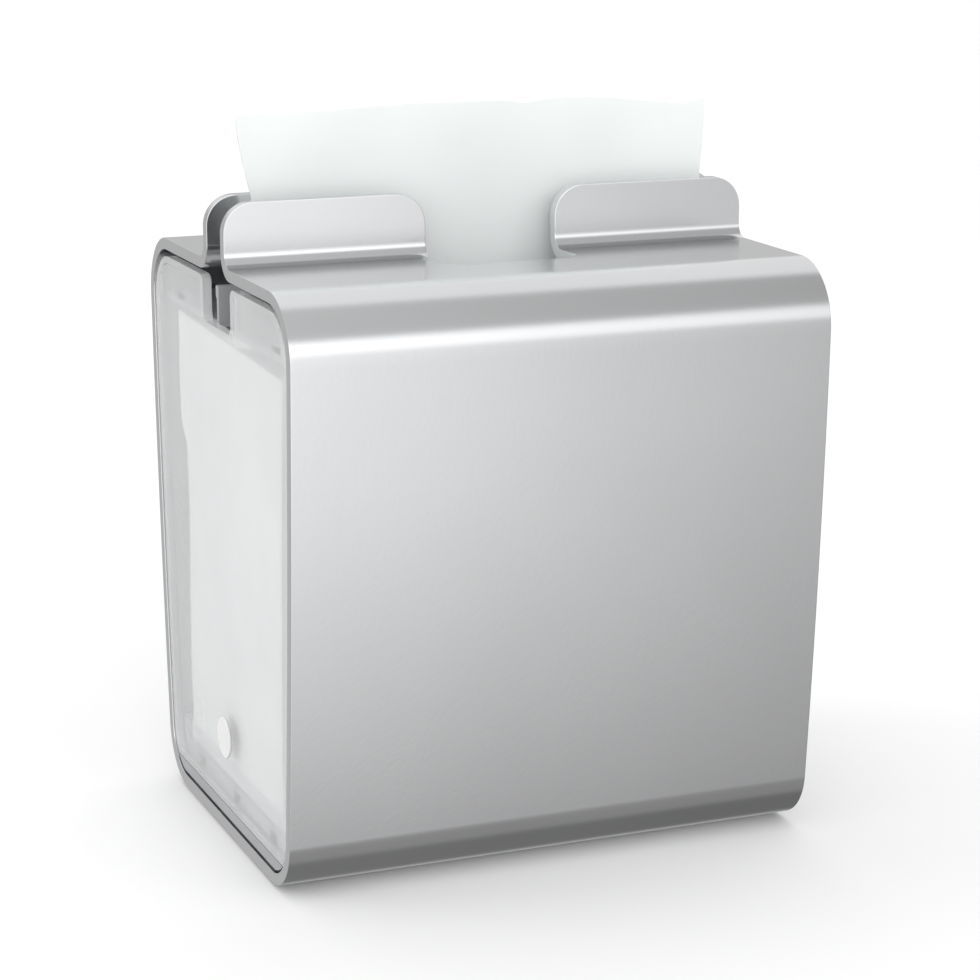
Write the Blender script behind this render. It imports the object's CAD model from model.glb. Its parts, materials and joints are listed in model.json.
"""Looks of a tabletop napkin dispenser: a satin aluminium sleeve with a slot between upright
tabs, clear end panels, a slide-out cassette on a sprung platform, and interfolded napkins."""
import json
import math
import random

import bpy
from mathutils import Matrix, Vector, noise


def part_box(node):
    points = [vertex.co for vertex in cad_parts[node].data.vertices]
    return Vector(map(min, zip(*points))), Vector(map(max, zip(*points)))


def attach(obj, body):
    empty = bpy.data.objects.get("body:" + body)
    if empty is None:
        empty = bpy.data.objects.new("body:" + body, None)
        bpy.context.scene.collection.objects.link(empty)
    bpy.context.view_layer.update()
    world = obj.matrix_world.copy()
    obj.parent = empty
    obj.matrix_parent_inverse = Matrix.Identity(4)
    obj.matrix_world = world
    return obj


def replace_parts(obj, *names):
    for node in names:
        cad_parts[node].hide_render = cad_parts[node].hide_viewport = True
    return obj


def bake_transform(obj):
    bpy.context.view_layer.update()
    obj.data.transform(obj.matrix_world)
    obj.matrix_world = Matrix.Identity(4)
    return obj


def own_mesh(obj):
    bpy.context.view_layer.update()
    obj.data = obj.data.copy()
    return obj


MM = 0.001

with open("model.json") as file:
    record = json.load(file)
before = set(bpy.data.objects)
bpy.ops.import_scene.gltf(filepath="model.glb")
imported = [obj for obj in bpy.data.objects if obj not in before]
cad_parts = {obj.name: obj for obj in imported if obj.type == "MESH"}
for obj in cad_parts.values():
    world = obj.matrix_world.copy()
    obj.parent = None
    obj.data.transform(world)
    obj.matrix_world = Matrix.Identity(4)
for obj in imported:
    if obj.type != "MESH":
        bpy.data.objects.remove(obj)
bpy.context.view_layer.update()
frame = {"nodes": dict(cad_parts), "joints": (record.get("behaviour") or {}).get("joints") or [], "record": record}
nodes = frame["nodes"]

# ---- sizes, in metres, from the frame ----
sleeve_lo, sleeve_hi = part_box("outer_shell")
stack_lo, stack_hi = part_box("napkin_stack")
leaf_lo, leaf_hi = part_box("served_napkin")
bezel_lo, bezel_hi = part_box("button_bezel")
peg_lo, peg_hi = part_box("stop_peg")

# The sleeve's bends, which the frame's boxes don't give
SHEET = 4 * MM
BASE_RADIUS = 19.7 * MM
TOP_RADIUS = 20.9 * MM
BULGE = 1.8 * MM
BASE_HALF = 67 * MM
TOP_HALF = 78.1 * MM
TAB_HEIGHT = 20.4 * MM
TAB_BEND = 4.7 * MM
TAB_RADIUS = 10 * MM
SLOT_HALF = 7.5 * MM
CUT_HALF = 22.8 * MM
CUT_REACH = 33.2 * MM
CUT_RADIUS = 5.3 * MM
BEZEL_LIP = 1.5 * MM
PEG_HOLE = 1.55 * MM

# How far sharp edges are broken, on the sleeve and on the pieces that come from the frame
EDGE = 0.35 * MM
FRAME_EDGE = 0.25 * MM
EDGE_ANGLE = 32
WELD_REACH = 0.002 * MM
FLAT_ANGLE = 0.4

length = sleeve_hi.x - sleeve_lo.x
base = sleeve_lo.z
# how far each joint moves from rest
reach = {joint["name"]: max(map(abs, joint["range_m"])) for joint in frame["joints"]}
height = sleeve_hi.z - TAB_HEIGHT - base
top = base + height

# ---- camera ----
AIM = Vector((4.41, 0, 110.6)) * MM
CAMERA_AT = Vector((-340.69, -850.72, 334.3)) * MM
LENS = 102.28
SENSOR = 36


def camera():
    bpy.ops.object.camera_add(location=CAMERA_AT)
    cam = bpy.context.object
    cam.name = "studio_camera"
    cam.rotation_euler = (AIM - CAMERA_AT).to_track_quat("-Z", "Y").to_euler()
    cam.data.lens = LENS
    cam.data.sensor_width = SENSOR
    cam.data.clip_start = 0.01
    cam.data.clip_end = 60
    bpy.context.scene.camera = cam


# ---- modelling helpers ----

def clear_selection():
    bpy.ops.object.select_all(action="DESELECT")


def edit(kind="VERT"):
    bpy.ops.object.mode_set(mode="EDIT")
    bpy.ops.mesh.select_mode(type=kind)


def done():
    bpy.ops.object.mode_set(mode="OBJECT")


def named(name):
    piece = bpy.context.object
    piece.name = name
    piece.data.name = name
    return piece


def only(piece):
    clear_selection()
    piece.select_set(True)
    bpy.context.view_layer.objects.active = piece


def placed(piece):
    """Puts the piece's place into its mesh."""
    only(piece)
    bpy.ops.object.transform_apply(location=True, rotation=True, scale=True)
    return piece


def block(name, lo, hi):
    """A box between two corners, ready to be shaped."""
    clear_selection()
    lo, hi = Vector(lo), Vector(hi)
    bpy.ops.mesh.primitive_cube_add(size=1, location=(lo + hi) / 2)
    piece = named(name)
    piece.scale = hi - lo
    return placed(piece)


def rod(name, foot, radius, tall, sides=48):
    """An upright cylinder that stands on foot."""
    clear_selection()
    middle = Vector(foot) + Vector((0, 0, tall / 2))
    bpy.ops.mesh.primitive_cylinder_add(vertices=sides, radius=radius, depth=tall, location=middle)
    return placed(named(name))


def apply(piece, kind, **settings):
    """Adds a modifier, sets it up and applies it."""
    only(piece)
    added = piece.modifiers.new(kind.lower(), kind)
    for key, value in settings.items():
        setattr(added, key, value)
    bpy.ops.object.modifier_apply(modifier=added.name)


def cut(piece, cutter, how="DIFFERENCE"):
    apply(piece, "BOOLEAN", operation=how, object=cutter, solver="EXACT")
    bpy.data.objects.remove(cutter)


def pick_edges(piece, wanted):
    """Selects, in edit mode, the edges whose two ends satisfy wanted(a, b)."""
    only(piece)
    edit("EDGE")
    bpy.ops.mesh.select_all(action="DESELECT")
    done()
    points = piece.data.vertices
    for e in piece.data.edges:
        a, b = (points[i].co for i in e.vertices)
        e.select = bool(wanted(a, b))
    edit("EDGE")


def near(a, b, by=0.02 * MM):
    return abs(a - b) < by


def soften(piece, width=EDGE, segments=2, angle=EDGE_ANGLE):
    """Breaks the sharp edges and shades the rest smooth."""
    apply(piece, "BEVEL", width=width, segments=segments, limit_method="ANGLE",
          angle_limit=math.radians(angle), use_clamp_overlap=True)
    only(piece)
    bpy.ops.object.shade_smooth_by_angle(angle=math.radians(angle))
    apply(piece, "WEIGHTED_NORMAL", keep_sharp=True, weight=60)


# ---- the sleeve ----

def side_arcs():
    """Centres of the bowed wall and of the two corner bends, and the angles where they meet."""
    chord = math.hypot(TOP_HALF - BASE_HALF, height)
    bow = (chord * chord / 4 + BULGE * BULGE) / (2 * BULGE)
    bow_y = (TOP_HALF + BASE_HALF) / 2 - (bow - BULGE) * height / chord
    bow_z = height / 2 + (bow - BULGE) * (TOP_HALF - BASE_HALF) / chord
    base_y = bow_y + math.sqrt((bow - BASE_RADIUS) ** 2 - (BASE_RADIUS - bow_z) ** 2)
    top_z = height - TOP_RADIUS
    top_y = bow_y + math.sqrt((bow - TOP_RADIUS) ** 2 - (top_z - bow_z) ** 2)
    base_turn = math.atan2(BASE_RADIUS - bow_z, base_y - bow_y)
    top_turn = math.atan2(top_z - bow_z, top_y - bow_y)
    return {"bow": (bow_y, bow_z, bow), "base": (base_y, BASE_RADIUS), "top": (top_y, top_z),
            "turns": (base_turn, top_turn)}


def draw_line(along_y, along_z):
    bpy.ops.mesh.extrude_vertices_move(TRANSFORM_OT_translate={"value": (0, along_y, along_z)})


def draw_arc(x, centre, turn, steps):
    """Spins the last point round a centre in the Y-Z plane; a positive turn goes from +Y to +Z."""
    bpy.ops.mesh.spin(steps=steps, angle=-turn, center=(x, centre[0], base + centre[1]), axis=(1, 0, 0))


def draw_side(name, x, inset, ending):
    """Half a side outline, from the middle of the base up to the top, drawn with line and arc.
    ending(top_y) goes on from where the top bend ends."""
    arcs = side_arcs()
    base_turn, top_turn = arcs["turns"]
    clear_selection()
    bpy.ops.mesh.primitive_plane_add(size=MM, location=(x, 0, base + inset))
    piece = placed(named(name))
    edit()
    bpy.ops.mesh.select_all(action="SELECT")
    bpy.ops.mesh.merge(type="CENTER")
    draw_line(arcs["base"][0], 0)
    draw_arc(x, arcs["base"], math.pi / 2 + base_turn, 20)
    draw_arc(x, arcs["bow"][:2], top_turn - base_turn, 14)
    draw_arc(x, arcs["top"], math.pi / 2 - top_turn, 24)
    ending(arcs["top"][0])
    done()
    apply(piece, "MIRROR", use_axis=(False, True, False), merge_threshold=0.05 * MM)
    return piece


def sleeve():
    """The satin sleeve: one bent sheet with its tabs, finger cut-out and holes in the base."""
    foot_y = SLOT_HALF + SHEET + TAB_BEND

    def tab(top_y):
        draw_line(foot_y - top_y, 0)
        draw_arc(sleeve_lo.x, (foot_y, height + TAB_BEND), -math.pi / 2, 12)
        draw_line(0, TAB_HEIGHT - TAB_BEND)

    shell = draw_side("satin_sleeve", sleeve_lo.x, 0, tab)
    only(shell)
    edit()
    bpy.ops.mesh.select_all(action="SELECT")
    bpy.ops.mesh.extrude_region_move(TRANSFORM_OT_translate={"value": (length, 0, 0)})
    bpy.ops.mesh.select_all(action="SELECT")
    bpy.ops.mesh.normals_make_consistent(inside=False)
    done()
    front = min(shell.data.polygons, key=lambda f: f.center.y)
    if front.normal.y > 0:
        edit()
        bpy.ops.mesh.select_all(action="SELECT")
        bpy.ops.mesh.flip_normals()
        done()
    apply(shell, "SOLIDIFY", thickness=SHEET, offset=-1, use_even_offset=True)
    cut(shell, finger_cutter())
    holes = [(0, 0, (bezel_hi.x - bezel_lo.x) / 2 - BEZEL_LIP)]
    holes.append(((peg_lo.x + peg_hi.x) / 2, (peg_lo.y + peg_hi.y) / 2, PEG_HOLE))
    for x, y, radius in holes:
        cut(shell, rod("hole", (x, y, base - SHEET), radius, 3 * SHEET))

    def tab_corner(a, b):
        high = near(a.z, sleeve_hi.z) and near(b.z, sleeve_hi.z)
        across = near(a.x, b.x) and abs(a.y - b.y) > SHEET / 2
        return high and across

    pick_edges(shell, tab_corner)
    bpy.ops.mesh.bevel(offset=TAB_RADIUS, segments=14, affect="EDGES")
    done()
    soften(shell)
    return shell


def finger_cutter():
    """What is cut out of the top for a finger and a thumb, with round corners."""
    cutter = block("finger_cutter", (-CUT_HALF, -CUT_REACH, top - 2 * SHEET),
                   (CUT_HALF, CUT_REACH, sleeve_hi.z + SHEET))
    pick_edges(cutter, lambda a, b: near(a.x, b.x) and near(a.y, b.y))
    bpy.ops.mesh.bevel(offset=CUT_RADIUS, segments=10, affect="EDGES")
    done()
    return cutter


# ---- napkins ----

LEAVES = 98
random.seed(7)

# The stack's outline, in millimetres from the middle of the sleeve: its front leans out towards
# the top, and its back is wavy and steps out near the top, at a share of the height
STACK_FRONT = -50.5
FRONT_LEAN = 7
STACK_BACK = 51.2
BACK_WAVE = 1.2
BACK_STEP = 5.6
STEP_AT = 0.68

# How far the served leaf narrows towards its fold, in millimetres, and how far up that starts
LEAF_NARROWS = 6.6
NARROW_SHARE = 0.62
LEAF_PLY = 0.16 * MM


def stack_edges(share):
    """How far the leaves reach to the front and the back at a share of the stack's height."""
    front = STACK_FRONT - FRONT_LEAN * share ** 1.5
    back = STACK_BACK + BACK_WAVE * math.sin(9 * share) + BACK_STEP * smooth((share - STEP_AT) / 0.06)
    return front * MM, back * MM


def smooth(t):
    """Rises softly from 0 to 1 as t does."""
    t = min(max(t, 0), 1)
    return t * t * (3 - 2 * t)


def folded_leaf():
    """One folded napkin, flat, with round folds along its long edges and cuts for its waves."""
    size = stack_hi - stack_lo
    thick = size.z / LEAVES
    leaf = block("leaf", (stack_lo.x, stack_lo.y, 0), (stack_hi.x, stack_hi.y, thick))
    pick_edges(leaf, lambda a, b: near(a.y, b.y) and near(a.z, b.z))
    bpy.ops.mesh.bevel(offset=thick * 0.36, segments=2, affect="EDGES")
    for i in range(1, 7):
        bpy.ops.mesh.select_all(action="SELECT")
        x = stack_lo.x + size.x * i / 7
        bpy.ops.mesh.bisect(plane_co=(x, 0, 0), plane_no=(1, 0, 0))
    for y in (-0.3, 0, 0.3):
        bpy.ops.mesh.select_all(action="SELECT")
        bpy.ops.mesh.bisect(plane_co=(0, size.y * y, 0), plane_no=(0, 1, 0))
    done()
    return leaf


def napkin_stack():
    first = folded_leaf()
    size = stack_hi - stack_lo
    thick = size.z / LEAVES
    leaves = [first]
    for i in range(1, LEAVES):
        leaf = first.copy()
        leaf.data = first.data.copy()
        bpy.context.scene.collection.objects.link(leaf)
        leaves.append(leaf)
    for i, leaf in enumerate(leaves):
        share = (i + 0.5) / LEAVES
        front, back = stack_edges(share)
        pull = random.uniform(-0.35, 0.35) * MM
        end = random.uniform(-0.12, 0.12) * MM
        for v in leaf.data.vertices:
            across = (v.co.y - stack_lo.y) / size.y
            ragged = 0.5 * noise.noise(Vector((v.co.x * 30, i * 0.35, across * 2))) * MM
            y = front + (back - front) * across + pull + ragged
            z = stack_lo.z + i * thick + v.co.z
            sag = (0.008 + 0.024 * (1 - across)) * share
            wave = 0.35 * noise.noise(Vector((v.co.x * 14, y * 18, z * 9))) * MM * share
            z -= (z - stack_lo.z) * sag - wave
            v.co = (v.co.x + end * (0.5 - (v.co.x > 0)), y, min(z, stack_hi.z))
    clear_selection()
    for leaf in leaves:
        leaf.select_set(True)
    bpy.context.view_layer.objects.active = first
    bpy.ops.object.join()
    stack = named("folded_napkins")
    only(stack)
    bpy.ops.object.shade_smooth_by_angle(angle=math.radians(50))
    return stack


def edge_height(x):
    """How far the served leaf's free edge hangs below its highest point, in millimetres."""
    u = (x - leaf_lo.x) / (leaf_hi.x - leaf_lo.x)
    rise = 1.4 * smooth((0.42 - u) / 0.34)
    dip = 1.3 * math.exp(-((u - 0.6) / 0.035) ** 2)
    fall = 3.6 * smooth((u - 0.72) / 0.24) - 1.2 * smooth((u - 0.95) / 0.05)
    return 0.15 + rise + dip + fall


def served_leaf():
    """The leaf that stands in the slot: one sheet folded over along its upper edge."""
    tall = leaf_hi.z - leaf_lo.z
    wide = leaf_hi.x - leaf_lo.x
    clear_selection()
    middle = ((leaf_lo.x + leaf_hi.x) / 2, 0, (leaf_lo.z + leaf_hi.z) / 2)
    bpy.ops.mesh.primitive_grid_add(x_subdivisions=82, y_subdivisions=90, size=1, location=middle,
                                    rotation=(math.pi / 2, 0, 0))
    leaf = named("standing_leaf")
    leaf.scale = (wide, 2 * tall, 1)
    placed(leaf)
    fold = (leaf_lo.z + leaf_hi.z) / 2
    for v in leaf.data.vertices:
        # the half above the middle folds over and becomes the back ply
        down = v.co.z - (fold - tall)
        back = down > tall
        run = 2 * tall - down if back else down
        share = run / tall
        x = v.co.x
        u = (x - leaf_lo.x) / wide
        free = smooth((share - 0.35) / 0.65)
        drop = edge_height(x + (3.5 * MM if back else 0)) * MM
        z = leaf_lo.z + run - drop * share
        body = 2.5 * noise.noise(Vector((x * 17, run * 12, 1.3))) * MM * free
        ripple = 0.9 * math.sin(u * 21 + 1.2) * math.exp(-((1 - share) / 0.25) ** 2) * MM
        gap = 0.32 * MM * math.sin(math.pi * min(1, (1 - share) * 6 + 0.03) / 2)
        gap += 0.35 * MM * abs(noise.noise(Vector((x * 25, run * 20, 7)))) * free
        y = body + ripple + (gap if back else -gap)
        narrow = LEAF_NARROWS * smooth((1 - share) / NARROW_SHARE)
        lean = (1 - u) * narrow - u * narrow * 0.35
        v.co = (x + lean * MM, y, z)
    apply(leaf, "SOLIDIFY", thickness=LEAF_PLY, offset=0)
    only(leaf)
    bpy.ops.object.shade_smooth_by_angle(angle=math.radians(60))
    return leaf


# ---- springs ----

# The part of a turn at each end of a coil that lies flat
FLAT_TURN = 0.75
# How much of the stretch the resting wire is pressed thin for, as a power
PRESS_POWER = 0.85
CONE = {"turns": 5.5, "wire": 1.4 * MM, "foot_radius": 27.3 * MM, "head_radius": 11.3 * MM}
BUTTON_COIL = {"turns": 3.5, "wire": 0.7 * MM, "foot_radius": 5.65 * MM, "head_radius": 5.65 * MM}


def wire_coil(name, node, travel, turns, wire, foot_radius, head_radius, steps=40):
    """A wire wound between a node's foot and head, with its end turns laid flat. The turns are
    drawn pressed thin, so that the wire is about round when the joint has stretched them by travel.
    Returns the coil, and the points where its stretch starts and ends."""
    lo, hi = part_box(node)
    cx = (lo.x + hi.x) / 2
    start, end = lo.z + wire * 4 / 7, hi.z - wire * 4 / 7
    clear_selection()
    bpy.ops.curve.primitive_nurbs_path_add(location=(0, 0, 0))
    coil = named(name)
    coil.data.splines.clear()
    line = coil.data.splines.new("POLY")
    count = int(turns * steps)
    line.points.add(count)
    middle = []
    for i in range(count + 1):
        turn = i / steps
        rise = min(max((turn - FLAT_TURN) / (turns - 2 * FLAT_TURN), 0), 1)
        radius = foot_radius + (head_radius - foot_radius) * i / count
        z = lo.z + wire / 2 + (hi.z - lo.z - wire) * rise
        angle = 2 * math.pi * turn
        line.points[i].co = (cx + radius * math.cos(angle), radius * math.sin(angle), z, 1)
        middle.append(z)
    coil.data.bevel_depth = wire / 2
    coil.data.bevel_resolution = 3
    coil.data.use_fill_caps = True
    only(coil)
    bpy.ops.object.convert(target="MESH")
    bpy.ops.object.shade_smooth()
    coil = placed(bpy.context.object)
    ring = len(coil.data.vertices) // (count + 1)
    for v in coil.data.vertices:
        z = middle[min(v.index // ring, count)]
        share = min(max((z - start) / (end - start), 0), 1)
        stretch = 1 + travel / (end - start) * 6 * share * (1 - share)
        v.co.z = z + (v.co.z - z) / stretch ** PRESS_POWER
    return coil, (0, 0, start), (0, 0, end)


# ---- finishes ----

# The part of a noise pattern's range that most of it lies in
PATTERN_MIDDLE = (0.3, 0.7)


def finish(name, colour, roughness, metal=0.0):
    """A material with its shader, and a place for its patterns."""
    made = bpy.data.materials.new(name)
    made.use_nodes = True
    shader = made.node_tree.nodes["Principled BSDF"]
    shader.inputs["Base Color"].default_value = (*colour, 1)
    shader.inputs["Roughness"].default_value = roughness
    shader.inputs["Metallic"].default_value = metal
    return made, shader


def place(made, stretch=(1, 1, 1)):
    """Object coordinates through a mapping that stretches the pattern."""
    tree = made.node_tree
    where = tree.nodes.new("ShaderNodeTexCoord")
    mapping = tree.nodes.new("ShaderNodeMapping")
    mapping.inputs["Scale"].default_value = stretch
    tree.links.new(where.outputs["Object"], mapping.inputs["Vector"])
    return mapping.outputs["Vector"]


def grain(made, vector, scale, detail=2.0, rough=0.5):
    """A noise pattern, as a value from 0 to 1."""
    tree = made.node_tree
    spots = tree.nodes.new("ShaderNodeTexNoise")
    spots.inputs["Scale"].default_value = scale
    spots.inputs["Detail"].default_value = detail
    spots.inputs["Roughness"].default_value = rough
    tree.links.new(vector, spots.inputs["Vector"])
    return spots.outputs["Fac"]


def map_range(tree, value, before, after=(0, 1)):
    """Maps the range before of a value onto the range after."""
    ranged = tree.nodes.new("ShaderNodeMapRange")
    names = ("From Min", "From Max", "To Min", "To Max")
    for name, number in zip(names, (*before, *after)):
        ranged.inputs[name].default_value = number
    tree.links.new(value, ranged.inputs["Value"])
    return ranged.outputs["Result"]


def spread(made, value, low, high):
    """Maps a pattern's middle range onto low to high."""
    return map_range(made.node_tree, value, PATTERN_MIDDLE, (low, high))


def tint(made, value, dark, light):
    """A colour between two shades, by a pattern."""
    tree = made.node_tree
    ramp = tree.nodes.new("ShaderNodeValToRGB")
    for stop, colour, at in zip(ramp.color_ramp.elements, (dark, light), PATTERN_MIDDLE):
        stop.color = (*colour, 1)
        stop.position = at
    tree.links.new(value, ramp.inputs["Fac"])
    return ramp.outputs["Color"]


def relief(made, shader, value, strength, deep):
    """Raises the surface by a pattern, deep in metres; a second call adds to the first."""
    tree = made.node_tree
    bump = tree.nodes.new("ShaderNodeBump")
    bump.inputs["Strength"].default_value = strength
    bump.inputs["Distance"].default_value = deep
    tree.links.new(value, bump.inputs["Height"])
    before = shader.inputs["Normal"].links
    if before:
        tree.links.new(before[0].from_socket, bump.inputs["Normal"])
    tree.links.new(bump.outputs["Normal"], shader.inputs["Normal"])


def satin_aluminium():
    """Fine bead-blasted and anodised metal: cloudy in its shade, with a fine sparkle."""
    made, shader = finish("satin_aluminium", (0.8, 0.805, 0.815), 0.24, 1.0)
    here = place(made)
    cloud = grain(made, here, 14, 3)
    fine = grain(made, here, 3400, 1)
    tree = made.node_tree
    tree.links.new(tint(made, cloud, (0.785, 0.79, 0.8), (0.815, 0.82, 0.83)), shader.inputs["Base Color"])
    tree.links.new(spread(made, fine, 0.17, 0.22), shader.inputs["Roughness"])
    relief(made, shader, fine, 0.3, 0.008 * MM)
    relief(made, shader, grain(made, here, 700, 2), 0.3, 0.03 * MM)
    return made


def drawn_steel():
    """Bright steel with fine lines drawn along it."""
    made, shader = finish("drawn_steel", (0.62, 0.62, 0.63), 0.28, 1.0)
    lines = grain(made, place(made, (1, 1, 0.06)), 2600, 2)
    made.node_tree.links.new(spread(made, lines, 0.2, 0.4), shader.inputs["Roughness"])
    relief(made, shader, lines, 0.3, 0.01 * MM)
    return made


def clear_panel():
    """Clear moulded styrene with a light frosting on its inner face."""
    made, shader = finish("clear_panel", (0.9, 0.91, 0.915), 0.12)
    shader.inputs["Alpha"].default_value = 0.42
    shader.inputs["Coat Weight"].default_value = 0.6
    here = place(made)
    haze = grain(made, here, 22, 2)
    tree = made.node_tree
    tree.links.new(tint(made, haze, (0.88, 0.89, 0.895), (0.93, 0.935, 0.94)), shader.inputs["Base Color"])
    tree.links.new(spread(made, grain(made, here, 1800, 2), 0.08, 0.2), shader.inputs["Roughness"])
    relief(made, shader, grain(made, here, 900, 1), 0.08, 0.01 * MM)
    return made


def moulded(name, colour, roughness, texture=1600, deep=0.02):
    """Plastic with a fine mould texture and a slight change of shade."""
    made, shader = finish(name, colour, roughness)
    here = place(made)
    fine = grain(made, here, texture, 2)
    shade = grain(made, here, 30, 3)
    dark = tuple(c * 0.94 for c in colour)
    light = tuple(min(c * 1.05, 1) for c in colour)
    tree = made.node_tree
    tree.links.new(tint(made, shade, dark, light), shader.inputs["Base Color"])
    tree.links.new(spread(made, fine, roughness - 0.07, roughness + 0.07), shader.inputs["Roughness"])
    relief(made, shader, fine, 0.4, deep * MM)
    return made


def tissue(name, colour, quilt):
    """Soft two-ply paper: fibres, a faint crepe and an embossed dot."""
    made, shader = finish(name, colour, 0.93)
    shader.inputs["Subsurface Weight"].default_value = 0.03
    shader.inputs["Subsurface Radius"].default_value = (0.001, 0.001, 0.001)
    shader.inputs["Sheen Weight"].default_value = 0.08
    shader.inputs["Specular IOR Level"].default_value = 0.15
    here = place(made)
    tree = made.node_tree
    shade = grain(made, here, 26, 4)
    dark = tuple(c * 0.972 for c in colour)
    tree.links.new(tint(made, shade, dark, colour), shader.inputs["Base Color"])
    relief(made, shader, grain(made, place(made, (1, 1, 0.25)), 1900, 3), 0.3, 0.03 * MM)
    if quilt:
        dots = tree.nodes.new("ShaderNodeTexVoronoi")
        dots.inputs["Scale"].default_value = 620
        dots.inputs["Randomness"].default_value = 0.15
        tree.links.new(here, dots.inputs["Vector"])
        relief(made, shader, dots.outputs["Distance"], 0.12, 0.05 * MM)
    return made


def rubber():
    made, shader = finish("moulded_rubber", (0.055, 0.055, 0.057), 0.75)
    relief(made, shader, grain(made, place(made), 1400, 2), 0.5, 0.03 * MM)
    return made


def paint(piece, made):
    piece.data.materials.clear()
    piece.data.materials.append(made)


def break_edges(piece, width):
    """Welds a carried-over node's triangles and breaks its sharp edges, as live modifiers."""
    weld = piece.modifiers.new("weld", "WELD")
    weld.merge_threshold = WELD_REACH
    flat = piece.modifiers.new("flat", "DECIMATE")
    flat.decimate_type = "DISSOLVE"
    flat.angle_limit = math.radians(FLAT_ANGLE)
    bevel = piece.modifiers.new("edges", "BEVEL")
    bevel.width = width
    bevel.segments = 2
    bevel.limit_method = "ANGLE"
    bevel.angle_limit = math.radians(EDGE_ANGLE)
    weighted = piece.modifiers.new("shade", "WEIGHTED_NORMAL")
    weighted.weight = 60
    only(piece)
    bpy.ops.object.shade_smooth()


# ---- studio ----

def floor():
    """A pale floor that the metal doesn't mirror."""
    clear_selection()
    bpy.ops.mesh.primitive_plane_add(size=40, location=(0, 8, 0))
    piece = named("studio_floor")
    made, shader = finish("white_floor", (0.83, 0.83, 0.83), 0.9)
    shader.inputs["Specular IOR Level"].default_value = 0
    paint(piece, made)
    piece.visible_glossy = False


def softbox(name, at, aim, wide, tall, glow):
    """A rectangular light whose face shines with the given radiance."""
    clear_selection()
    bpy.ops.object.light_add(type="AREA", location=at)
    light = bpy.context.object
    light.name = name
    light.rotation_euler = (Vector(aim) - Vector(at)).to_track_quat("-Z", "Y").to_euler()
    light.data.shape = "RECTANGLE"
    light.data.size = wide
    light.data.size_y = tall
    light.data.energy = glow * math.pi * wide * tall
    return light


# What the metal mirrors: a white room with a strip light. Each surface has the angles that it
# fills, in degrees up from the back horizon and over the top to the front, with those below the
# horizon negative, and its glow on the left and on the right. Between two surfaces the glow
# fades from one to the next.
STUDIO_SURFACES = [
    ("lower front wall", -180, -165, 1.2, 0.5),
    ("floor in front", -140, -120, 0.3, 0.25),
    ("shaded floor", -110, -60, 0.2, 0.15),
    ("back wall", -30, 10, 0.5, 0.5),
    ("ceiling", 20, 75, 0.9, 0.85),
    ("dark gap", 90, 140, 0.65, 0.4),
    ("strip light", 155, 165, 1.6, 0.95),
    ("upper front wall", 175, 180, 1.2, 0.5),
]
# Where the room turns from its left glow to its right glow, as the x of a direction
GLOW_LEFT = 0.25
GLOW_RIGHT = 0.5
# The glow that a ramp's white stands for
GLOW_TOP = 2.0
# The light that is left when metal mirrors metal, in its satin grain
SECOND_MIRROR = 0.7


def socket(sockets, identifier):
    """A mix node's socket, whose plain name is shared by several."""
    return next(one for one in sockets if one.identifier == identifier)


def glow_ramp(tree, angle, side):
    """The glow of the surfaces around the room; side is a column of STUDIO_SURFACES."""
    ramp = tree.nodes.new("ShaderNodeValToRGB")
    ramp.color_ramp.interpolation = "EASE"
    stops = ramp.color_ramp.elements
    for surface in STUDIO_SURFACES:
        for degrees in surface[1:3]:
            at = (degrees + 180) / 360
            ends = {0: stops[0], 1: stops[len(stops) - 1]}
            stop = ends[at] if at in ends else stops.new(at)
            stop.color = (surface[side] / GLOW_TOP,) * 3 + (1,)
    tree.links.new(angle, ramp.inputs["Fac"])
    return ramp.outputs["Color"]


def mirrored_glow(tree):
    """The room's glow by direction: round the room by angle, and across it from left to right."""
    where = tree.nodes.new("ShaderNodeTexCoord")
    parts = tree.nodes.new("ShaderNodeSeparateXYZ")
    tree.links.new(where.outputs["Generated"], parts.inputs["Vector"])
    turn = tree.nodes.new("ShaderNodeMath")
    turn.operation = "ARCTAN2"
    tree.links.new(parts.outputs["Z"], turn.inputs[0])
    tree.links.new(parts.outputs["Y"], turn.inputs[1])
    angle = map_range(tree, turn.outputs["Value"], (-math.pi, math.pi))
    across = map_range(tree, parts.outputs["X"], (GLOW_LEFT, GLOW_RIGHT))
    mix = tree.nodes.new("ShaderNodeMix")
    mix.data_type = "RGBA"
    tree.links.new(across, mix.inputs["Factor"])
    tree.links.new(glow_ramp(tree, angle, 3), socket(mix.inputs, "A_Color"))
    tree.links.new(glow_ramp(tree, angle, 4), socket(mix.inputs, "B_Color"))
    return socket(mix.outputs, "Result_Color")


def sky():
    """A white studio, greyer to the right and below, which the satin metal mirrors. The backdrop
    itself is plain white."""
    world = bpy.data.worlds.new("studio")
    bpy.context.scene.world = world
    world.use_nodes = True
    tree = world.node_tree
    shine = tree.nodes["Background"]
    tree.links.new(mirrored_glow(tree), shine.inputs["Color"])
    path = tree.nodes.new("ShaderNodeLightPath")
    dimmed = (GLOW_TOP, GLOW_TOP * SECOND_MIRROR)
    strength = map_range(tree, path.outputs["Glossy Depth"], (1, 2), dimmed)
    tree.links.new(strength, shine.inputs["Strength"])
    white = tree.nodes.new("ShaderNodeBackground")
    white.inputs["Color"].default_value = (1, 1, 1, 1)
    pick = tree.nodes.new("ShaderNodeMixShader")
    tree.links.new(path.outputs["Is Camera Ray"], pick.inputs[0])
    tree.links.new(shine.outputs["Background"], pick.inputs[1])
    tree.links.new(white.outputs["Background"], pick.inputs[2])
    tree.links.new(pick.outputs["Shader"], tree.nodes["World Output"].inputs["Surface"])


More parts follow.
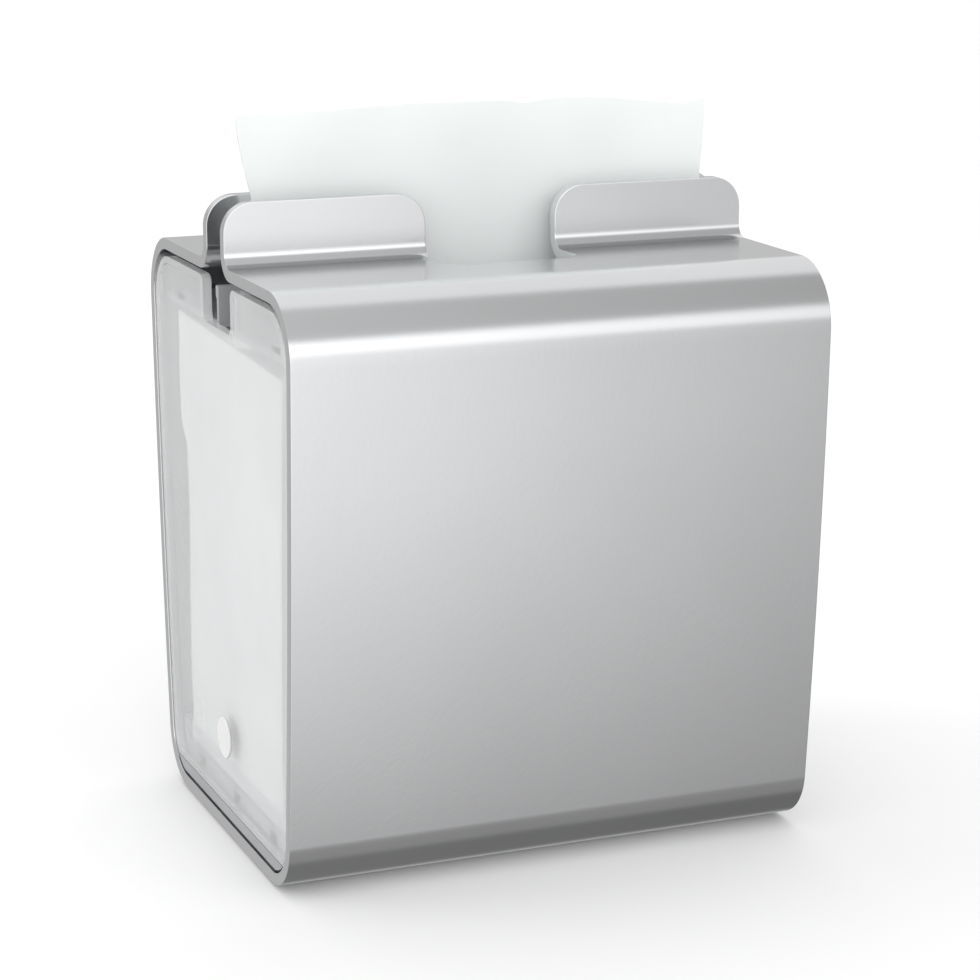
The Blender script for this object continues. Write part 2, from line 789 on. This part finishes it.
def overhead(strength):
    """A wide soft light from above, the same all over the floor."""
    clear_selection()
    bpy.ops.object.light_add(type="SUN", location=(0, 0, 2))
    light = bpy.context.object
    light.name = "overhead_light"
    light.data.energy = strength
    light.data.angle = math.radians(120)
    return light


def studio():
    floor()
    sky()
    # for the paper, the panels and the floor; the metal mirrors the sky alone
    key = softbox("key_softbox", (1.5, -1.9, 1.2), (0, 0, 0.15), 0.8, 0.8, 2.2)
    front = softbox("front_softbox", (-0.5, -2.3, 0.9), (0, 0, 0.15), 1.0, 1.0, 1.3)
    left = softbox("left_softbox", (-2.2, 0.9, 0.8), (0, 0, 0.12), 1.2, 1.0, 3.1)
    for light in (overhead(1.35), key, front, left):
        light.visible_glossy = False
    bpy.context.scene.view_settings.view_transform = "Standard"


# ---- putting it together ----

camera()
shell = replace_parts(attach(sleeve(), "sleeve"), "outer_shell")

stack = napkin_stack()
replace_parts(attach(stack, "cassette"), "napkin_stack")
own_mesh(stack)

leaf = served_leaf()
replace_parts(leaf, "served_napkin")
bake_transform(leaf)

springs = []
for side in ("left", "right"):
    coil, start, end = wire_coil(side + "_cone_spring", side + "_lift_spring",
                                 reach["lift_travel"], **CONE)
    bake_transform(coil)
    springs.append(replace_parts(coil, side + "_lift_spring"))
coil, start, end = wire_coil("button_coil", "button_spring", reach["button_travel"],
                             **BUTTON_COIL, steps=32)
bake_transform(coil)
springs.append(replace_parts(coil, "button_spring"))

finishes = {
    "aluminium": satin_aluminium(),
    "clear_plastic": clear_panel(),
    "grey_plastic": moulded("grey_moulding", (0.35, 0.36, 0.37), 0.5),
    "light_plastic": moulded("light_moulding", (0.66, 0.67, 0.68), 0.45),
    "dark_plastic": moulded("dark_moulding", (0.05, 0.05, 0.055), 0.38),
    "white_plastic": moulded("white_moulding", (0.72, 0.72, 0.715), 0.35),
    "steel": drawn_steel(),
    "rubber": rubber(),
    "tissue_stack": tissue("stacked_tissue", (0.87, 0.875, 0.875), False),
    "paper": tissue("tissue", (0.82, 0.848, 0.842), True),
}
paint(shell, finishes["aluminium"])
paint(stack, finishes["tissue_stack"])
paint(leaf, finishes["paper"])
for spring in springs:
    paint(spring, finishes["steel"])

hidden = {"outer_shell", "napkin_stack", "served_napkin", "left_lift_spring", "right_lift_spring",
          "button_spring"}
for part in frame["record"]["subparts"]:
    name = part["node"]
    if name not in hidden:
        paint(nodes[name], finishes[part["material_slot"]])
        break_edges(nodes[name], FRAME_EDGE)

studio()
